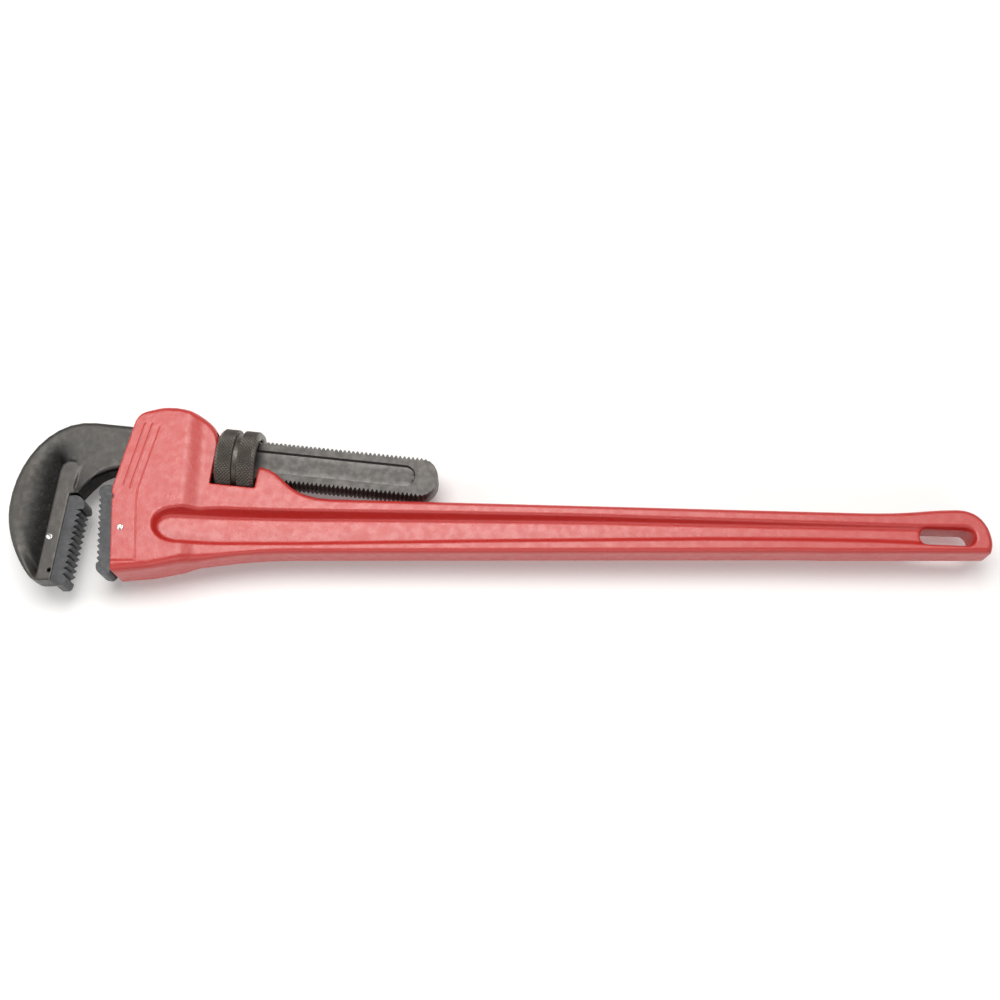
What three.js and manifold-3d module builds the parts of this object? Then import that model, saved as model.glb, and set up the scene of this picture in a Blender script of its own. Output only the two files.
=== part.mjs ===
// Pipe wrench, 1500 mm size: cast handle with its housing, sliding hook jaw, adjusting nut, jaw inserts
// and springs. Millimetres, +Z up. The wrench lies flat: the hook points to -X, the grip to +X, thickness
// along Z. Pieces are drawn in the wrench's own frame, with its mid-plane at z = 0, and one group moves
// them to the part's frame.
import * as THREE from 'three';
import { mergeVertices } from 'three/addons/utils/BufferGeometryUtils.js';
import Module from 'manifold-3d';

const wasm = await Module();
wasm.setup();

// ---------------------------------------------------------------- driving dimensions, mm
const ORIGIN = { x: 5.5, y: -58, z: 48 }; // puts the box's centre at x = y = 0, its lowest point at z = 0

const HEAD = { half: 34, side: 23.5, inset: 9 }; // half thickness, flat part of its edge, its rounding
const REAR_HALF = 27.5; // half thickness of the housing at the window
const STEP = { from: -457, to: -431 }; // where the housing's side slopes from HEAD.half to REAR_HALF
const BEAM = { half: 24, side: 13, inset: 5 }; // the handle's I-section
const WEB = { half: 5.2, gripHalf: 17, from: -290, to: 600 }; // the handle's web, thicker at the grip
const POCKET_DRAFT = 9; // how far a pocket's wall leans over its full depth
const HANG_SLOT = { x0: 615, x1: 669, y0: -5.2, y1: -7, r: 11.5 };

const SHANK = { x: -314.7, y: 107.9, tilt: 6.3 }; // a point on the shank's axis; degrees it falls to the grip
const SHANK_HALF = 17;
const SHANK_START = -170; // along the shank's axis from that point, as all the lengths below
const SHANK_END = 225;
const SHANK_RECESS = { r: 16.8, depth: 6, from: -150, end: 192 };
const PITCH = 6.35; // 4 threads to the inch
const THREAD = { crestR: 34.6, rootR: 30.7, from: -127 }; // sharp at crest and root
const THREAD_SIDES = 24; // facets to one turn
const THREAD_ROOM = 0.8; // the nut's thread is this much larger in radius
const NUT = {
  centre: -69, length: 57, r: 48, grooveR: 42.5, grooveHalf: 3.6, slope: 2, chamfer: 4, sides: 48,
};
const WINDOW = { from: -104.4, to: -37.3, floorR: 50 };
const PASSAGE = { half: 18.5, roof: 35.4, floor: -45.1 }; // the shank's way, with room to rock

const JAW_HALF = 18; // half width of the toothed jaws
const TEETH = 11;
const HOOK_TEETH = { x: -605.8, y: 32.5, lean: 5.6, pitch: 8.9, depth: 6.3 }; // first tip; lean in degrees
const HEEL_TEETH = { x: -581.7, y: 51, lean: -4, pitch: 8.8, depth: 3.4 };
const SEAM = { top: [-625.6, 60], low: [-638.2, -69] }; // the line where the hook and its insert meet
const TONGUE = { half: 8, length: 19 }; // the hook insert's tongue, in the hook's slot
const HEEL_SEAT = { top: [-533, 74.5], low: [-524, -51], lip: -552 }; // the heel jaw's slot and its ledge
const HEEL_PIN = { x: -541.8, y: 4 };
const HOOK_PIN = { x: -647, y: -5 };
const PIN_R = 4.6;
const PIN_DOME = 0.8;
const FIT = 0.35; // room between pieces that touch

const SPRING_ROOM = 1.5; // round the coil spring in its pocket
const COIL = { at: -185, turns: 6, r: 8, wire: 1.5, sides: 6, steps: 12, floor: -80.5 };
const LEAF = { from: -222, to: -132, thick: 2.4, half: 13, bow: 1.6, holeR: 3.3 };
const RIVET = { r: 2.9, headR: 5.2, noseR: 3.5, head: 2, nose: 3.2, into: 2 }; // its head hangs in the coil

// ---------------------------------------------------------------- solids
const degrees = THREE.MathUtils.degToRad;
const vectors = (pairs) => pairs.map(([x, y]) => new THREE.Vector2(x, y));

/** A closed geometry as a manifold solid; mirrored turns z to -z. */
function solid(geometry, mirrored = false) {
  const bare = geometry.clone();
  bare.deleteAttribute('normal');
  bare.deleteAttribute('uv');
  if (mirrored) bare.scale(1, 1, -1);
  const merged = mergeVertices(bare, 1e-4);
  const triVerts = new Uint32Array(merged.index.array);
  if (mirrored) triVerts.reverse();
  const vertProperties = new Float32Array(merged.attributes.position.array);
  return new wasm.Manifold(new wasm.Mesh({ numProp: 3, vertProperties, triVerts }));
}

/** A manifold solid as a geometry with flat faces. */
function geometryOf(manifold) {
  const mesh = manifold.getMesh();
  const geometry = new THREE.BufferGeometry();
  geometry.setAttribute('position', new THREE.BufferAttribute(mesh.vertProperties, 3));
  geometry.setIndex(new THREE.BufferAttribute(mesh.triVerts, 1));
  const flat = geometry.toNonIndexed();
  flat.computeVertexNormals();
  return flat;
}

/** A shape in XY as a plate with |z| < half, full size where |z| < side and inset at its two faces. */
function plate(shape, half, side = half, inset = 0) {
  const geometry = new THREE.ExtrudeGeometry(shape, {
    depth: 2 * side,
    bevelEnabled: side < half,
    bevelThickness: half - side,
    bevelSize: inset,
    bevelOffset: -inset,
    bevelSegments: 3,
    curveSegments: 7,
  });
  return geometry.translate(0, 0, -side);
}

function block(x0, x1, y0, y1, z0, z1) {
  const geometry = new THREE.BoxGeometry(x1 - x0, y1 - y0, z1 - z0);
  return geometry.translate((x0 + x1) / 2, (y0 + y1) / 2, (z0 + z1) / 2);
}

/** A round bar along Z, centred. */
function bar(r, length, sides = 20) {
  return new THREE.CylinderGeometry(r, r, length, sides).rotateX(Math.PI / 2);
}

/** A stadium from a to b (points) with end radius r. */
function stadium(a, b, r) {
  const [p, q] = vectors([a, b]);
  const turn = q.clone().sub(p).angle();
  const s = new THREE.Shape();
  s.absarc(p.x, p.y, r, turn + Math.PI / 2, turn + 1.5 * Math.PI, false);
  s.absarc(q.x, q.y, r, turn - Math.PI / 2, turn + Math.PI / 2, false);
  s.closePath();
  return s;
}

// ---------------------------------------------------------------- the shank's frame and its thread
/** x runs along the shank's axis towards the grip, y across it, z as the wrench's. */
const SHANK_FRAME = new THREE.Matrix4()
  .makeRotationZ(degrees(-SHANK.tilt))
  .setPosition(SHANK.x, SHANK.y, 0);
const onShank = (geometry) => geometry.applyMatrix4(SHANK_FRAME);

/** The surface of a screw along X as a closed geometry, from x0 on; its ends close to points on the axis. */
function screw(crestR, rootR, x0, turns) {
  const profile = [[0, crestR], [PITCH / 2, rootR]];
  const rows = profile.length;
  const steps = turns * THREAD_SIDES;
  const points = [];
  for (let k = 0; k <= steps + THREAD_SIDES; k++) {
    const turn = k / THREAD_SIDES;
    const angle = 2 * Math.PI * turn;
    for (const [along, r] of profile) {
      points.push(x0 + PITCH * turn + along, r * Math.cos(angle), r * Math.sin(angle));
    }
  }
  const tips = points.length / 3;
  points.push(x0 - PITCH, 0, 0, x0 + PITCH * (turns + 2), 0, 0);

  const at = (k, row) => (row < rows ? rows * k + row : rows * (k + THREAD_SIDES));
  const faces = [];
  for (let k = 0; k < steps; k++) {
    for (let row = 0; row < rows; row++) {
      const [a, b, c, d] = [at(k, row), at(k, row + 1), at(k + 1, row + 1), at(k + 1, row)];
      faces.push(a, c, b, a, d, c);
    }
  }
  for (let k = 0; k < THREAD_SIDES; k++) {
    faces.push(tips, at(k + 1, 0), at(k, 0));
    faces.push(tips + 1, at(steps + k, 0), at(steps + k + 1, 0));
  }
  for (let row = 0; row < rows; row++) {
    faces.push(tips, at(0, row), at(0, row + 1));
    faces.push(tips + 1, at(steps, row + 1), at(steps, row));
  }
  const geometry = new THREE.BufferGeometry();
  geometry.setAttribute('position', new THREE.Float32BufferAttribute(points, 3));
  geometry.setIndex(faces);
  return geometry;
}

// ---------------------------------------------------------------- handle body
/** Outline of the housing at its widest, from the front lower corner along the underside. */
function housingOutline() {
  const s = new THREE.Shape();
  s.moveTo(-551, -50);
  s.quadraticCurveTo(-550.3, -61.6, -537, -61);
  s.bezierCurveTo(-500, -58.5, -455, -48.5, -392, -38);
  s.lineTo(-392, 100);
  s.lineTo(-412, 140);
  s.bezierCurveTo(-416, 172, -450, 193, -489, 193);
  s.bezierCurveTo(-506, 193, -530, 182, -535, 172);
  s.lineTo(-549, 112);
  s.lineTo(-558, 72);
  s.quadraticCurveTo(-560, 64, -559.5, 58);
  s.closePath();
  return s;
}

/** Outline of the handle at its widest, with the tongue behind the window. */
function handleOutline() {
  const s = new THREE.Shape();
  s.moveTo(-440, -45.9);
  s.bezierCurveTo(-395, -37.5, -350, -32.2, -290, -32);
  s.lineTo(430, -31.1);
  s.bezierCurveTo(520, -31.5, 590, -48.1, 664, -48.1);
  s.bezierCurveTo(690, -48.1, 706, -34, 706, -14);
  s.bezierCurveTo(706, 12, 692, 35.5, 660, 35.5);
  s.bezierCurveTo(610, 35.5, 600, 29, 522, 30.8);
  s.lineTo(145, 41.2);
  s.lineTo(-87, 47.6);
  s.lineTo(-245, 52);
  s.bezierCurveTo(-320, 54.5, -310, 102.5, -358, 102.5);
  s.lineTo(-440, 102.5);
  s.closePath();
  return s;
}

/** The housing's thickness along X, drawn in XZ and swept along Y. */
function housingPlan() {
  const half = [[-600, HEAD.half], [STEP.from, HEAD.half], [STEP.to, REAR_HALF], [-380, REAR_HALF - 2]];
  const outline = vectors([...half, ...half.map(([x, z]) => [x, -z]).reverse()]);
  const geometry = new THREE.ExtrudeGeometry(new THREE.Shape(outline), { depth: 400, bevelEnabled: false });
  return geometry.rotateX(Math.PI / 2).translate(0, 250, 0);
}

/** One side's pocket: an outline at the side's face, walls leaning in to a floor that rises along X. */
function pocket(outline, floorHalf, floorX, rise, depth) {
  const geometry = new THREE.ExtrudeGeometry(new THREE.Shape(vectors(outline)), {
    depth: 40,
    bevelThickness: depth,
    bevelSize: POCKET_DRAFT,
    bevelOffset: -POCKET_DRAFT,
    bevelSegments: 1,
  });
  return geometry.rotateY(-Math.atan(rise)).translate(0, 0, floorHalf + depth - rise * floorX);
}

/** The pockets that leave the web: a long one down the handle, and one that shallows into the housing. */
function pockets() {
  const rise = (WEB.gripHalf - WEB.half) / (WEB.to - WEB.from);
  const long = [[-330, -18], [600, -20.5], [600, 14], [300, 26], [0, 33], [-300, 36.5], [-330, 38]];
  const front = [
    [-488, -18], [-502, -4], [-502, 20], [-485, 34], [-455, 37], [-430, 46], [-290, 36.5], [-290, -18],
  ];
  return [
    pocket(long, WEB.half, WEB.from, rise, BEAM.half - WEB.half),
    pocket(front, WEB.half, -310, -0.075, BEAM.half - WEB.half),
  ];
}

/** The coil spring's pocket, in the floor of the shank's way. */
function coilPocket() {
  const hole = bar(COIL.r + COIL.wire + SPRING_ROOM, 60).rotateX(Math.PI / 2);
  return onShank(hole.translate(COIL.at, COIL.floor + 30, 0));
}

function handleBody() {
  const housingPlate = solid(plate(housingOutline(), HEAD.half, HEAD.side, HEAD.inset));
  const housing = housingPlate.intersect(solid(housingPlan()));
  const handle = solid(plate(handleOutline(), BEAM.half, BEAM.side, BEAM.inset));
  const windowLength = WINDOW.to - WINDOW.from;
  const windowCentre = (WINDOW.to + WINDOW.from) / 2;
  const cuts = [
    // the shank's way: through the housing, and open above the tongue
    onShank(block(-300, 120, PASSAGE.floor, PASSAGE.roof, -PASSAGE.half, PASSAGE.half)),
    // the nut's window: a round saddle, open above
    onShank(bar(WINDOW.floorR, windowLength, NUT.sides).rotateY(Math.PI / 2).translate(windowCentre, 0, 0)),
    onShank(block(WINDOW.from, WINDOW.to, 0, 120, -WINDOW.floorR, WINDOW.floorR)),
    // the heel jaw's slot, the coil spring's pocket, the heel jaw pin's hole and the hanging slot
    heelSlot(),
    coilPocket(),
    bar(PIN_R + FIT, 100).translate(HEEL_PIN.x, HEEL_PIN.y, 0),
    plate(stadium([HANG_SLOT.x0, HANG_SLOT.y0], [HANG_SLOT.x1, HANG_SLOT.y1], HANG_SLOT.r), 40),
  ];
  let body = housing.add(handle);
  for (const cut of cuts) body = body.subtract(solid(cut));
  for (const cut of pockets()) body = body.subtract(solid(cut)).subtract(solid(cut, true));
  return geometryOf(body);
}

// ---------------------------------------------------------------- toothed jaws

/** Points of a row of teeth from its first tip on, each with a steep and a long flank. */
function toothRow({ x, y, lean, pitch, depth }, side) {
  const along = new THREE.Vector2(-Math.sin(degrees(lean)), -Math.cos(degrees(lean)));
  const out = new THREE.Vector2(-along.y, along.x).multiplyScalar(side);
  const first = new THREE.Vector2(x, y);
  const points = [];
  for (let i = 0; i < TEETH; i++) {
    const tip = first.clone().addScaledVector(along, i * pitch);
    points.push(tip.clone().addScaledVector(along, -0.25 * pitch).addScaledVector(out, -depth));
    points.push(tip);
    points.push(tip.clone().addScaledVector(along, 0.55 * pitch).addScaledVector(out, -depth));
  }
  return points.map((p) => [p.x, p.y]);
}

/** The slot in the housing's front that holds the heel jaw. */
function heelSlot() {
  const { top, low, lip } = HEEL_SEAT;
  const s = new THREE.Shape(vectors([[-600, top[1]], [-600, -90], [lip, -90], [lip, low[1]], low, top]));
  return plate(s, JAW_HALF + FIT);
}

function heelJaw() {
  const { top, low, lip } = HEEL_SEAT;
  const s = new THREE.Shape();
  s.moveTo(top[0] - FIT, top[1] - FIT);
  s.lineTo(-572, top[1] - FIT);
  s.quadraticCurveTo(-583.5, top[1] - FIT, -583, 62);
  for (const [x, y] of toothRow(HEEL_TEETH, -1)) s.lineTo(x, y);
  s.lineTo(-575.6, -45);
  s.quadraticCurveTo(-577, -62.5, lip - FIT, -63);
  s.lineTo(lip - FIT, low[1] + FIT);
  s.lineTo(low[0] - FIT, low[1] + FIT);
  s.closePath();
  const hole = bar(PIN_R + FIT, 100).translate(HEEL_PIN.x, HEEL_PIN.y, 0);
  return geometryOf(solid(plate(s, JAW_HALF)).subtract(solid(hole)));
}

/** A point at height y on the seam between the hook and its insert, moved along X by offset. */
const seamPoint = (y, offset = 0) => {
  const t = (y - SEAM.top[1]) / (SEAM.low[1] - SEAM.top[1]);
  return [SEAM.top[0] + t * (SEAM.low[0] - SEAM.top[0]) + offset, y];
};

/** The tongue's outline, grown by room for the slot; the slot also runs out below. */
function tongueOutline(top, low, room) {
  const [a, b] = [seamPoint(top + room, 2), seamPoint(low, 2)];
  const length = TONGUE.length + 2 + room;
  return new THREE.Shape(vectors([a, [a[0] - length, a[1]], [b[0] - length, b[1]], b]));
}

function hookInsert() {
  const s = new THREE.Shape();
  s.moveTo(...seamPoint(-69, FIT));
  s.lineTo(...seamPoint(57, FIT));
  s.lineTo(-618, 58);
  s.bezierCurveTo(-610, 58, -602.5, 54, -602.8, 47);
  for (const [x, y] of toothRow(HOOK_TEETH, 1)) s.lineTo(x, y);
  s.lineTo(-615.5, -66.5);
  s.quadraticCurveTo(-616.5, -77, -622, -77);
  s.lineTo(-630, -77);
  s.closePath();
  const body = solid(plate(s, JAW_HALF)).add(solid(plate(tongueOutline(50, -62, 0), TONGUE.half)));
  const hole = bar(PIN_R + FIT, 100).translate(HOOK_PIN.x, HOOK_PIN.y, 0);
  return geometryOf(body.subtract(solid(hole)));
}

// ---------------------------------------------------------------- hook jaw
/** The hook with the plain start of its shank, from the shank's top line round the hook's back. */
function hookOutline() {
  const top = new THREE.Vector3(SHANK_START + 30, THREAD.crestR, 0).applyMatrix4(SHANK_FRAME);
  const low = new THREE.Vector3(SHANK_START + 30, -THREAD.crestR, 0).applyMatrix4(SHANK_FRAME);
  const s = new THREE.Shape();
  s.moveTo(top.x, top.y);
  s.lineTo(-600, 174);
  s.bezierCurveTo(-668, 181.5, -717, 113, -717, 38);
  s.bezierCurveTo(-717, 0, -699, -36, -677, -60);
  s.quadraticCurveTo(-669, -69, -657, -70);
  s.lineTo(...seamPoint(-69.5));
  s.lineTo(...seamPoint(61));
  s.lineTo(-614, 62);
  s.bezierCurveTo(-604, 75, -590, 96, -556, 99.8);
  s.lineTo(low.x, low.y);
  s.closePath();
  return s;
}

/** The threaded shank: a screw cut to a flat bar, its end round, with a long recess in each side. */
function shank() {
  const turns = Math.ceil((SHANK_END - THREAD.from) / PITCH) + 1;
  const phase = Math.round((THREAD.from - NUT.centre) / PITCH) * PITCH + NUT.centre;
  const end = new THREE.Shape();
  end.moveTo(THREAD.from, -50);
  end.lineTo(200, -50);
  end.bezierCurveTo(200, -30, SHANK_END, -36, SHANK_END, -10);
  end.lineTo(SHANK_END, 10);
  end.bezierCurveTo(SHANK_END, 36, 200, 30, 200, 50);
  end.lineTo(THREAD.from, 50);
  end.closePath();
  const threaded = solid(onShank(screw(THREAD.crestR, THREAD.rootR, phase - PITCH, turns + 1)))
    .intersect(solid(onShank(plate(end, SHANK_HALF))));
  const plain = block(SHANK_START, THREAD.from + 0.5, -THREAD.crestR, THREAD.crestR, -SHANK_HALF, SHANK_HALF);
  return threaded.add(solid(onShank(plain)));
}

function hookJaw() {
  let body = solid(plate(hookOutline(), JAW_HALF, 12, 4)).add(shank());
  const recess = stadium([SHANK_RECESS.from, 0], [SHANK_RECESS.end, 0], SHANK_RECESS.r);
  const side = onShank(plate(recess, SHANK_RECESS.depth).translate(0, 0, SHANK_HALF));
  const slot = plate(tongueOutline(50, -90, FIT), TONGUE.half + FIT);
  const hole = bar(PIN_R + FIT, 100).translate(HOOK_PIN.x, HOOK_PIN.y, 0);
  for (const cut of [side, slot, hole]) body = body.subtract(solid(cut));
  return geometryOf(body.subtract(solid(side, true)));
}

// ---------------------------------------------------------------- nut, pins and springs
/** The adjusting nut along X, about its own centre: two rings with a groove between, threaded through. */
function adjustingNut() {
  const { length, r, grooveR, grooveHalf, slope, chamfer, sides } = NUT;
  const half = length / 2;
  const profile = vectors([
    [0, -half], [r - chamfer, -half], [r, -half + chamfer], [r, -grooveHalf - slope], [grooveR, -grooveHalf],
    [grooveR, grooveHalf], [r, grooveHalf + slope], [r, half - chamfer], [r - chamfer, half], [0, half],
  ]);
  const outside = new THREE.LatheGeometry(profile, sides).rotateZ(-Math.PI / 2);
  const turns = Math.ceil(length / PITCH) + 3;
  const from = -PITCH * Math.floor(turns / 2 + 1);
  const thread = screw(THREAD.crestR + THREAD_ROOM, THREAD.rootR + THREAD_ROOM, from, turns);
  return geometryOf(solid(outside).subtract(solid(thread)));
}

/** A pin along Z with slightly domed ends. */
function pin(length) {
  const half = length / 2;
  const shoulder = half - PIN_DOME / 3;
  const profile = vectors([
    [0, -half], [PIN_R * 0.7, -shoulder], [PIN_R, PIN_DOME - half], [PIN_R, half - PIN_DOME],
    [PIN_R * 0.7, shoulder], [0, half],
  ]);
  return new THREE.LatheGeometry(profile, 16).rotateX(Math.PI / 2);
}

/** The leaf under the shank: bowed a little away from it at both ends. */
function flatSpring() {
  const top = -THREAD.crestR - FIT;
  const { bow } = LEAF;
  const middle = (LEAF.from + LEAF.to) / 2;
  const s = new THREE.Shape();
  s.moveTo(LEAF.from, top - bow);
  s.quadraticCurveTo(middle, top + bow, LEAF.to, top - bow);
  s.lineTo(LEAF.to, top - bow - LEAF.thick);
  s.quadraticCurveTo(middle, top + bow - LEAF.thick, LEAF.from, top - bow - LEAF.thick);
  s.closePath();
  const hole = bar(LEAF.holeR, 40).rotateX(Math.PI / 2).translate(COIL.at, top, 0);
  return geometryOf(solid(plate(s, LEAF.half)).subtract(solid(hole)));
}

class Helix extends THREE.Curve {
  constructor(from, to) {
    super();
    this.from = from;
    this.to = to;
  }

  getPoint(t) {
    const angle = 2 * Math.PI * COIL.turns * t;
    const along = this.from + t * (this.to - this.from);
    return new THREE.Vector3(COIL.at + COIL.r * Math.cos(angle), along, COIL.r * Math.sin(angle));
  }
}

function coilSpring(top) {
  const section = new THREE.Shape();
  section.absarc(0, 0, COIL.wire, 0, 2 * Math.PI, false);
  return new THREE.ExtrudeGeometry(section, {
    steps: COIL.turns * COIL.steps,
    curveSegments: COIL.sides,
    extrudePath: new Helix(COIL.floor + COIL.wire + FIT, top - COIL.wire - FIT),
  });
}

/** Rivet through the leaf: a shank flush with the leaf's top and a head inside the coil. */
function springRivet(under) {
  const { r, headR, noseR, head, nose, into } = RIVET;
  const profile = vectors([
    [0, under - nose - 0.2], [noseR, under - nose], [headR, under - head], [headR, under - FIT],
    [r, under - FIT], [r, under + into], [0, under + into],
  ]);
  return new THREE.LatheGeometry(profile, 16).translate(COIL.at, 0, 0);
}

// ---------------------------------------------------------------- assembly
const RED = new THREE.MeshStandardMaterial({ color: 0xc8281f, roughness: 0.42, metalness: 0 });
const FORGED = new THREE.MeshStandardMaterial({ color: 0x4b4a48, roughness: 0.5, metalness: 0.6 });
const TOOTHED = new THREE.MeshStandardMaterial({ color: 0x47484a, roughness: 0.45, metalness: 0.6 });
const KNURLED = new THREE.MeshStandardMaterial({ color: 0x55514b, roughness: 0.45, metalness: 0.7 });
const BRIGHT = new THREE.MeshStandardMaterial({ color: 0xb9bcbf, roughness: 0.25, metalness: 0.95 });
const SPRING = new THREE.MeshStandardMaterial({ color: 0x3b3e44, roughness: 0.4, metalness: 0.8 });

const wrench = new THREE.Group();
wrench.position.set(ORIGIN.x, ORIGIN.y, ORIGIN.z);
const alongShank = new THREE.Group();
alongShank.applyMatrix4(SHANK_FRAME);
wrench.add(alongShank);

function place(group, name, geometry, material, x = 0, y = 0) {
  const mesh = new THREE.Mesh(geometry, material);
  mesh.name = name;
  mesh.position.set(x, y, 0);
  group.add(mesh);
}

const leafUnder = -THREAD.crestR - FIT - LEAF.thick;
place(wrench, 'handle_body', handleBody(), RED);
place(wrench, 'heel_jaw', heelJaw(), TOOTHED);
place(wrench, 'heel_jaw_pin', pin(2 * HEAD.half + 0.8), BRIGHT, HEEL_PIN.x, HEEL_PIN.y);
place(wrench, 'hook_jaw', hookJaw(), FORGED);
place(wrench, 'hook_jaw_insert', hookInsert(), TOOTHED);
place(wrench, 'hook_insert_pin', pin(2 * JAW_HALF + 0.8), BRIGHT, HOOK_PIN.x, HOOK_PIN.y);
place(alongShank, 'adjusting_nut', adjustingNut(), KNURLED, NUT.centre);
place(alongShank, 'flat_spring', flatSpring(), SPRING);
place(alongShank, 'coil_spring', coilSpring(leafUnder), SPRING);
place(alongShank, 'spring_rivet', springRivet(leafUnder), BRIGHT);

const part = new THREE.Group();
part.add(wrench);
export default part;
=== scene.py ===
"""Pipe wrench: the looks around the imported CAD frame.

Shapes are drawn in millimetres in the wrench's own frame, with its mid-plane at z = 0, its hook towards
-X and its grip towards +X. placed() moves them to the part's frame, in metres. The casting and the
forging are level sets on a grid, and the rest are lofts.
"""

import math

import bpy
import numpy as np
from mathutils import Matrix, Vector


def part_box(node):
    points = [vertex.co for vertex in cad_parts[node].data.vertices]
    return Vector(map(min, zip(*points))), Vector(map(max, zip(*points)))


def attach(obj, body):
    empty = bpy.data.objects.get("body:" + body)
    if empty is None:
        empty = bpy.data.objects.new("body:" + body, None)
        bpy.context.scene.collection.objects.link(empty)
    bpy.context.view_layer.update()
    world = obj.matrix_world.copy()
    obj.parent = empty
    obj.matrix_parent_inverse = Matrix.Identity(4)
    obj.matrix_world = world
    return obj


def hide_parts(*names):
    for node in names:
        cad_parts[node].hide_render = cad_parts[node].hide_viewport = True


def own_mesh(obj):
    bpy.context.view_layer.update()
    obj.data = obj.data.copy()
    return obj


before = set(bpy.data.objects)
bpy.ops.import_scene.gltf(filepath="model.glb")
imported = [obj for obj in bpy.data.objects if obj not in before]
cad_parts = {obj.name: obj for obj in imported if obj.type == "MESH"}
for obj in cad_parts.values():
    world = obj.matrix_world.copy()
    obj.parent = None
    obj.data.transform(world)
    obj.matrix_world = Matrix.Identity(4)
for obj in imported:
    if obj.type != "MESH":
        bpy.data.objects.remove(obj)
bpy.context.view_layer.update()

# ---------------------------------------------------------------- driving dimensions, mm
MM = 0.001
GRIP_END, TOP = 706.0, 193.0  # the handle's extreme points along X and Y
HANDLE_LOW, HANDLE_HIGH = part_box("handle_body")
MIDDLE_Z = (HANDLE_LOW.z + HANDLE_HIGH.z) / 2
ORIGIN = Vector((HANDLE_HIGH.x - GRIP_END * MM, HANDLE_HIGH.y - TOP * MM, MIDDLE_Z))

# the handle's half thickness: the housing, its part beside the nut, and the handle proper
HEAD_HALF, REAR_HALF, BEAM_HALF = 34.0, 24.2, 24.0
STEP_FROM, STEP_TO = -461.0, -431.0  # where HEAD_HALF comes down to REAR_HALF
REAR_FROM, REAR_TO = -425.0, -375.0  # and REAR_HALF to BEAM_HALF

# lines on the housing, as the heights they pass and their X there
FRONT_EDGE = (-48, 58, 72, 112, 172), (-550, -559.5, -558, -549, -535)
LIP_GROOVE = (-44, 46, 64, 161), (-516.7, -523.7, -522.7, -500)
# from point to point: the groove's lower leg, which runs to the front, and the two ribs on the lip
LIP_FOOT = (-552, -45.5), (-517, -45)
LIP_RIBS = ((-520.6, 162.5), (-542.4, 70)), ((-509.8, 162), (-533.0, 64))
GROOVE_DEPTH, RIB_HEIGHT = 0.9, 1.0
# the edge of its underside, as the X it passes and its heights there
UNDERSIDE = (-560, -500, -440, -370, -290), (-62.6, -57.2, -45, -35, -31.4)

# the pocket: its web's half thickness, what it gains to the grip and what it gains into the housing,
# and how far its walls lean out: both, the upper one more, and what that one gains to each end
WEB_FROM, WEB_TO = -290.0, 600.0
WEB_HALF, WEB_TO_GRIP, WEB_TO_HOUSING = 5.2, 12.4, 17.0
LEAN, UPPER_LEAN, UPPER_TO_GRIP, UPPER_TO_HOUSING = 0.26, 0.18, 0.14, 0.12
SLOT_A, SLOT_B, SLOT_R = (615.0, -5.2), (669.0, -7.0), 11.5  # the hanging slot

# the heel jaw's seat: its back as heights and X, the middle and half of its height, the X of its mouth,
# its top and its half width
SEAT_BACK = (-51, 74.5), (-524, -533)
SEAT_MID, SEAT_HALF, MOUTH, SEAT_TOP, SEAT_WIDE = 11.75, 62.75, -552.0, 74.5, 18.4
NOTCH_AT, NOTCH_R = (-559.0, 51.0), 3.2  # the small notch in the housing's front

SHANK_AT, SHANK_TILT = (-314.7, 107.9), math.radians(6.3)
SHANK_HALF = 17.0
SHANK_FROM, SHANK_TO = -150.0, 225.0  # along the shank's axis, as all lengths below
SHANK_DOME = 30.0  # length of its rounded end
RECESS = {"half": 16.8, "depth": 5.0, "end": 192.0}
PITCH, CREST_R, ROOT_R, THREAD_FROM = 6.35, 34.6, 30.7, -127.0
ROOT_FLAT, FLANK = 0.14, 0.74  # shares of half a pitch
NUT = {"at": -69.0, "half": 28.5, "r": 48.0, "chamfer": 4.0,
       "bore_r": 35.6, "bore_chamfer": 2.2, "groove_r": 42.5, "groove_half": 3.6}
KNURL = {"around": 112, "rows": 9, "depth": 1.4}  # lattice steps to a turn, even, and rows to a ring, odd
WINDOW_FROM, WINDOW_TO, WINDOW_R = -103.0, -37.3, 50.0
PASSAGE_HALF, PASSAGE_ROOF, PASSAGE_FLOOR = 18.5, 35.4, -45.1
PASSAGE_TO = 120.0

HOOK_HALF = 18.0
SHANK_COVER = 0.4  # how far the forging stands proud of the shank's flats that it closes over
HOLLOW, HOLLOW_RIGHT, HOLLOW_REACH = 13.5, 1.2, 46.0  # depth left and right of the pad, and width
SHADE_REACH = 62.0  # how far from the pad the painted shade reaches
# the slit in the hook for the insert's tongue: half width, middle and half of its height, and depth
SLIT_WIDE, SLIT_MID, SLIT_REACH, SLIT_DEEP = 8.35, -6.25, 56.75, 22.0
TONGUE = {"from": -62.0, "to": 49.0, "root": 3.0, "long": 21.0, "half": 8.0}
DRIFT_AT, DRIFT_R = (-641.5, -55.0), 2.7  # the small hole at the pad's foot
TEETH = 11
# the seam between the hook and its insert, and what it gains in X to a mm of height
SEAM_TOP, SEAM_LOW, SEAM_SLOPE = (-625.6, 60.0), (-638.2, -69.0), 0.098
HEEL_PIN, HOOK_PIN, PIN_R = (-541.8, 4.0), (-647.0, -5.0), 4.6
PIN_PROUD = 0.4
LEAF_TOP = -CREST_R - 0.35
LEAF = {"at": -177.0, "half": 45.0, "wide": 13.0, "thick": 2.4, "bow": 1.6}
COIL = {"at": -185.0, "turns": 6, "r": 8.0, "wire": 1.5,
        "foot": -80.0, "floor": -78.6, "roof": LEAF_TOP - 4.4}


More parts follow.
